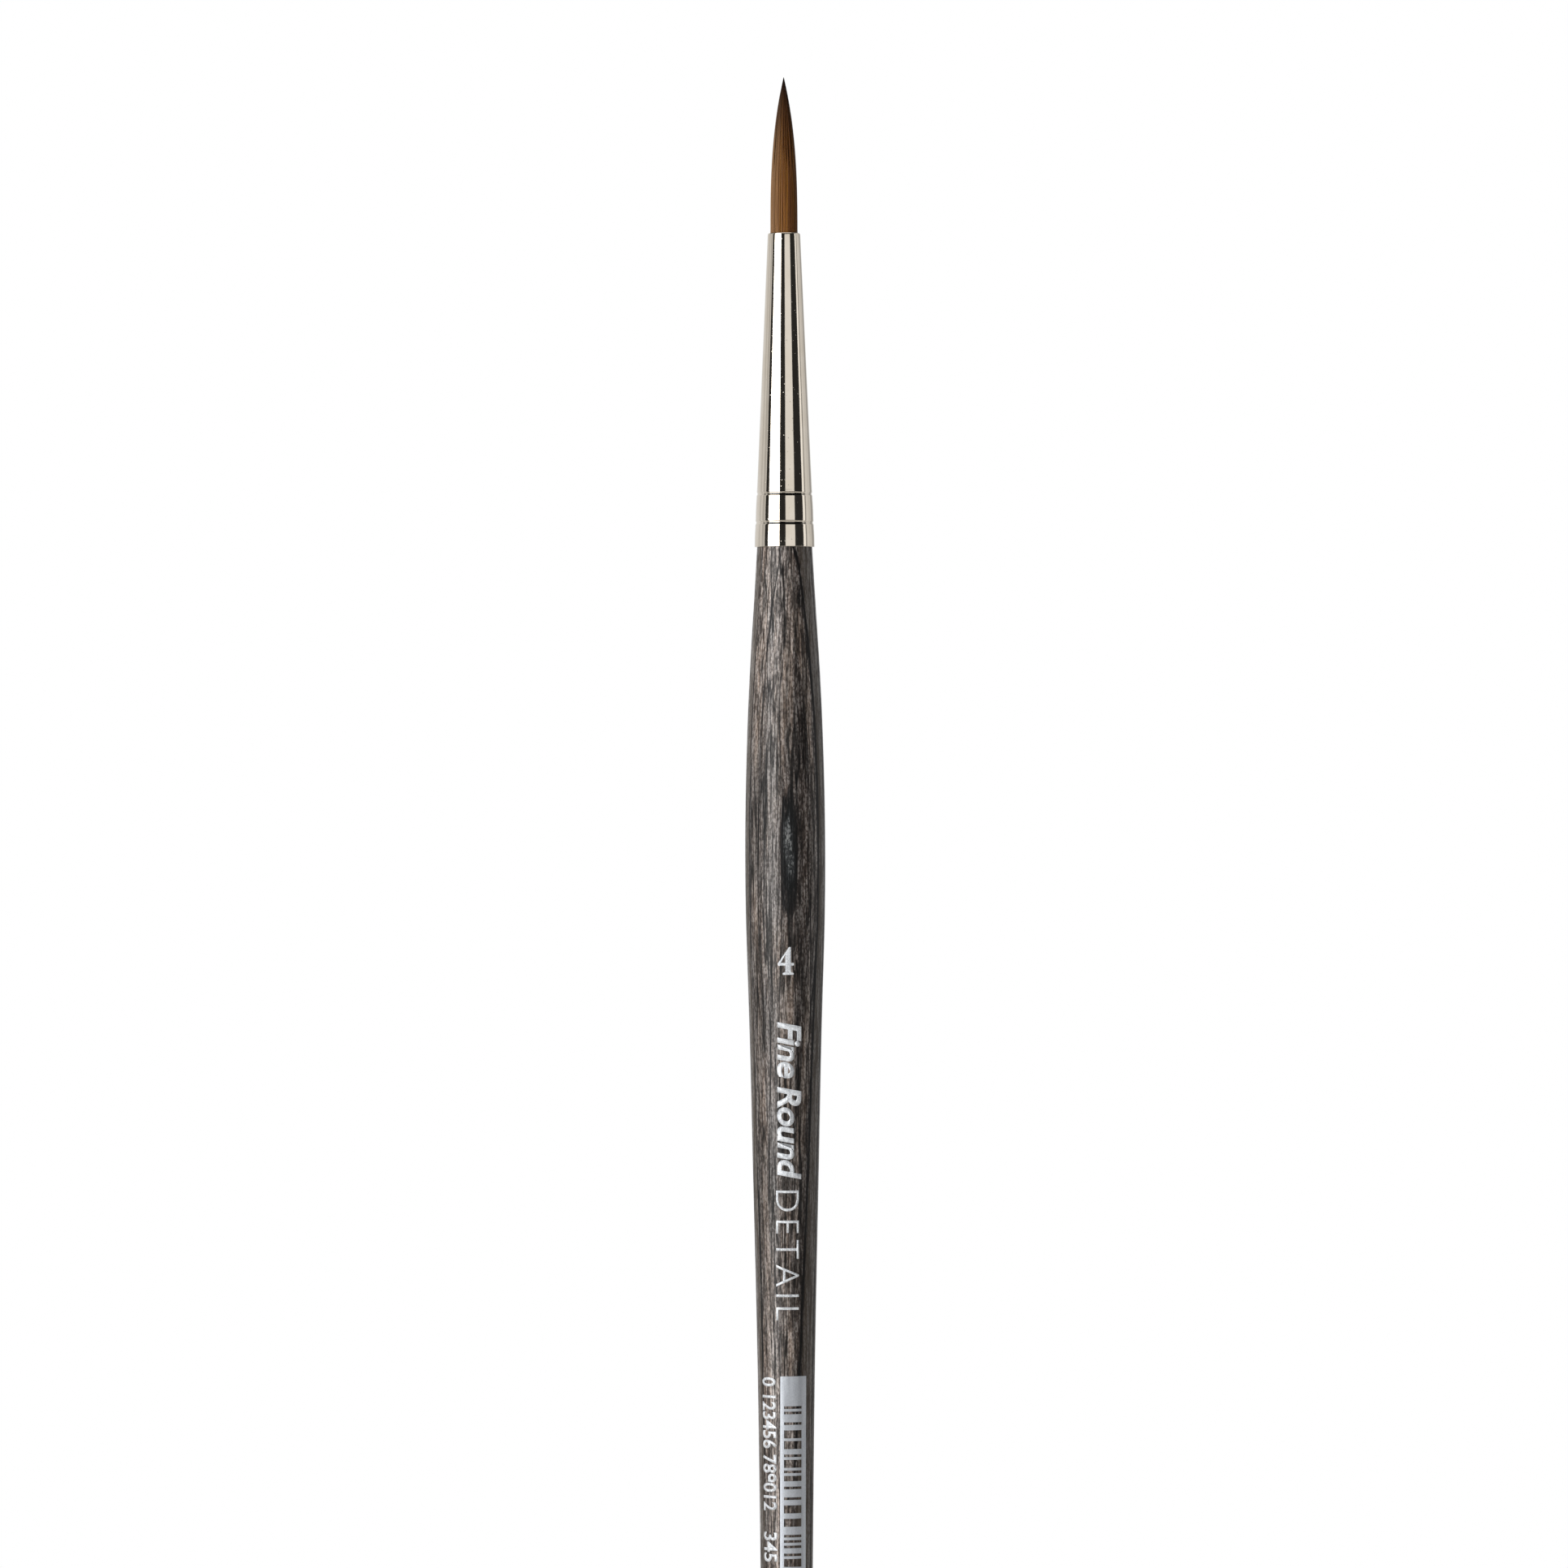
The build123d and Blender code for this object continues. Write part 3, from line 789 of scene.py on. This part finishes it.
def print_on_handle(name, flat, width, low, high, turn, ink=letter_ink):
    """Fits a flat shape into a place on the handle, wraps it round and gives it its thickness.
    The width is measured round the handle, and the turn in degrees to the right of the front."""
    xs = [vert.co.x for vert in flat.verts]
    ys = [vert.co.y for vert in flat.verts]
    for vert in flat.verts:
        across = (vert.co.x - min(xs)) / (max(xs) - min(xs)) - 0.5
        up = (vert.co.y - min(ys)) / (max(ys) - min(ys))
        vert.co = (across * width, low + up * (high - low), 0)
    for cut in np.arange(-width / 2 + INK_STRIP / 2, width / 2, INK_STRIP):
        everything = flat.verts[:] + flat.edges[:] + flat.faces[:]
        bmesh.ops.bisect_plane(flat, geom=everything, plane_co=(cut, 0, 0), plane_no=(1, 0, 0))
    raised = bmesh.ops.extrude_face_region(flat, geom=flat.faces[:])["geom"]
    raised = {part for part in raised if isinstance(part, bmesh.types.BMVert)}
    for vert in flat.verts:
        radius = wood_radius(vert.co.y)
        angle = radians(turn) + vert.co.x / radius
        radius += INK_PROUD if vert in raised else -INK_SUNK
        vert.co = Vector((radius * sin(angle), -radius * cos(angle), vert.co.y)) * MM
    bmesh.ops.recalc_face_normals(flat, faces=flat.faces)
    mesh = bpy.data.meshes.new(name)
    flat.to_mesh(mesh)
    flat.free()
    mesh.materials.append(ink)
    piece = bpy.data.objects.new(name, mesh)
    bpy.context.scene.collection.objects.link(piece)
    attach(piece, "brush")


number = flat_outline(NUMBER_OUTLINE, NUMBER_HOLE)
print_on_handle("print_size_number", number, width=1.60, low=97.84, high=100.57, turn=0.5)
kind = flat_words("Fine Round", bold=0.028, lean=0.18, spacing=0.96)
print_on_handle("print_kind", kind, width=2.45, low=77.7, high=93.2, turn=6.0)
use = flat_words("DETAIL", bold=-0.012, spacing=1.25)
print_on_handle("print_use", use, width=2.3, low=63.8, high=76.6, turn=3.0)
digits = flat_words("0 123456 789012", bold=0.02)
print_on_handle("print_code_digits", digits, width=1.75, low=45.0, high=58.17, turn=-39.0)
more = flat_words("345 678", bold=0.02)
print_on_handle("print_more_digits", more, width=1.75, low=36.2, high=42.9, turn=-39.0)

# Bar code strip: a silver panel with its bars left open, so that the dark wood shows in them.
# The bars are random and stand for no number.
STRIP_TOP = 58.29
STRIP_FOOT = 28.0
STRIP_WIDTH = 2.73
STRIP_TURN = 15.8
BARS_TOP = 55.35
BARS_MODULE = 0.264  # width of the thinnest bar
BARS_MODULES = 95
BAR_WIDTHS = (1, 1, 2, 3)  # modules, to draw from
BARS_EDGES = (-0.986, 0.818)  # mm round the handle from the strip's middle

guard = [1, 1, 1]
widths = list(guard)
while sum(widths) < BARS_MODULES - len(guard) - 4:
    widths += [random.choice(BAR_WIDTHS), random.choice(BAR_WIDTHS)]
widths[-1] += BARS_MODULES - len(guard) - sum(widths)
widths += guard
edges = [BARS_TOP]
for width in widths:
    edges.append(edges[-1] - width * BARS_MODULE)
rows = [STRIP_TOP] + edges + [STRIP_FOOT]
columns = [-STRIP_WIDTH / 2, *BARS_EDGES, STRIP_WIDTH / 2]
strip = bmesh.new()
grid = [[strip.verts.new((x, y, 0)) for x in columns] for y in rows]
for row in range(len(rows) - 1):
    for column in range(len(columns) - 1):
        is_bar = column == 1 and 1 <= row <= len(widths) and row % 2 == 1
        if not is_bar:
            corners = grid[row][column : column + 2] + grid[row + 1][column : column + 2][::-1]
            strip.faces.new(corners)
strip_place = (STRIP_WIDTH, STRIP_FOOT, STRIP_TOP, STRIP_TURN)
print_on_handle("print_code_strip", strip, *strip_place, ink=panel_ink)

# Floor: a round sweep of pale matt card that the brush stands on, with a faint tooth.
FLOOR_RADIUS = 0.34  # m
CARD_TOOTH = 0.8  # mm from one fibre clump to the next

card_finish, tree = new_material("card_pale_matt")
place = add(tree, "TexCoord").outputs["Object"]
tooth = add(tree, "TexNoise", {"Vector": place, "Scale": 1 / (CARD_TOOTH * MM), "Detail": 4.0})
colour = add(tree, "ValToRGB", {"Fac": tooth}, ((0.3, "#E6E4E0"), (0.7, "#EEECE8")))
bump = add(tree, "Bump", {"Height": tooth, "Strength": 0.3, "Distance": 0.05 * MM})
settings = {"Base Color": colour, "Roughness": 0.9, "Normal": bump}
shader = add(tree, "BsdfPrincipled", settings)
add(tree, "OutputMaterial", {"Surface": shader})
disc = bmesh.new()
bmesh.ops.create_circle(disc, cap_ends=True, radius=FLOOR_RADIUS, segments=128)
floor_mesh = bpy.data.meshes.new("floor")
disc.to_mesh(floor_mesh)
disc.free()
floor_mesh.materials.append(card_finish)
floor = bpy.data.objects.new("floor", floor_mesh)
bpy.context.scene.collection.objects.link(floor)
floor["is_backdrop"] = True

# Studio: a large soft box at the left front, a smaller screen beside the camera at the right,
# a strip at the far right, white paper behind and a soft light overhead, in a dark room. Panels
# are given by azimuth (0 is the camera's side, positive to the right), elevation and brightness.
DARK_ROOM = 0.03  # brightness
PAPER = 0.85  # brightness
PAPER_EDGE = 83.5  # degrees from the camera's side at which the paper begins
PAPER_HEIGHT = 30  # degrees up and down that it reaches
SOFT_EDGE = 2.0  # degrees
PANELS = (  # azimuth, half width, elevation and half height in degrees, then brightness
    (-44.0, 22.8, 0.0, 26.0, 6.0),
    (22.8, 18.8, 0.0, 14.0, 1.05),
    (84.5, 5.0, 0.0, 20.0, 1.3),
    (94.5, 3.0, 0.0, 60.0, 0.35),
    (122.0, 9.0, 0.0, 60.0, 0.75),
    (-94.0, 6.5, 0.0, 60.0, 0.6),
    (-116.0, 6.0, 0.0, 60.0, 0.7),
    (144.0, 12.0, 0.0, 60.0, 0.45),
    (0.0, 181.0, 90.0, 30.0, 1.6),
)

world = bpy.data.worlds.new("studio")
bpy.context.scene.world = world
world.use_nodes = True
tree = world.node_tree
tree.nodes.clear()
ray = add(tree, "SeparateXYZ", {"Vector": add(tree, "TexCoord").outputs["Generated"]})
forward = add(tree, "Math", {0: ray.outputs["Y"], 1: -1.0}, operation="MULTIPLY")
azimuth = add(tree, "Math", {0: ray.outputs["X"], 1: forward}, operation="ARCTAN2")
azimuth = add(tree, "Math", {0: azimuth}, operation="DEGREES")
elevation = add(tree, "Math", {0: ray.outputs["Z"]}, operation="ARCSINE")
elevation = add(tree, "Math", {0: elevation}, operation="DEGREES")


def within(value, middle, half, low=0.0, high=1.0):
    """High within a half width of the middle and low outside it, with a soft edge."""
    off = add(tree, "Math", {0: value, 1: middle}, operation="SUBTRACT")
    off = add(tree, "Math", {0: off}, operation="ABSOLUTE")
    edge = {"Value": off, "From Min": half - SOFT_EDGE / 2, "From Max": half + SOFT_EDGE / 2}
    edge |= {"To Min": high, "To Max": low}
    return add(tree, "MapRange", edge, interpolation_type="SMOOTHSTEP")


light = within(azimuth, 0.0, PAPER_EDGE, PAPER, DARK_ROOM)
low_enough = within(elevation, 0.0, PAPER_HEIGHT)
light = add(tree, "Math", {0: light, 1: low_enough}, operation="MULTIPLY")
for middle, half, height, half_height, brightness in PANELS:
    wide = within(azimuth, middle, half)
    tall = within(elevation, height, half_height)
    both = add(tree, "Math", {0: wide, 1: tall}, operation="MULTIPLY")
    change = add(tree, "Math", {0: brightness, 1: light}, operation="SUBTRACT")
    light = add(tree, "Math", {0: both, 1: change, 2: light}, operation="MULTIPLY_ADD")
lit = add(tree, "Background", {"Color": "#FFFFFF", "Strength": light})
white = add(tree, "Background", {"Color": "#FFFFFF", "Strength": 1.0})
seen = add(tree, "LightPath").outputs["Is Camera Ray"]
shown = add(tree, "MixShader", {0: seen, 1: lit, 2: white})
add(tree, "OutputWorld", {"Surface": shown})
bpy.context.scene.view_settings.view_transform = "Standard"

# Camera: level with the upper part of the handle, far enough back for a flat, upright view.
CAMERA_DISTANCE = 0.75  # m in front of the brush
CAMERA_HEIGHT = 0.1166
CAMERA_ASIDE = -0.00011
LENS = 174.3  # mm, on a sensor that is SENSOR_WIDTH wide
SENSOR_WIDTH = 36.0
CAMERA_ROLL = 0.115  # degrees

camera = bpy.data.objects.new("camera", bpy.data.cameras.new("camera"))
camera.data.lens = LENS
camera.data.sensor_width = SENSOR_WIDTH
camera.location = (CAMERA_ASIDE, -CAMERA_DISTANCE, CAMERA_HEIGHT)
camera.rotation_euler = (pi / 2, radians(CAMERA_ROLL), 0)
bpy.context.scene.collection.objects.link(camera)
bpy.context.scene.camera = camera

low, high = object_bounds()
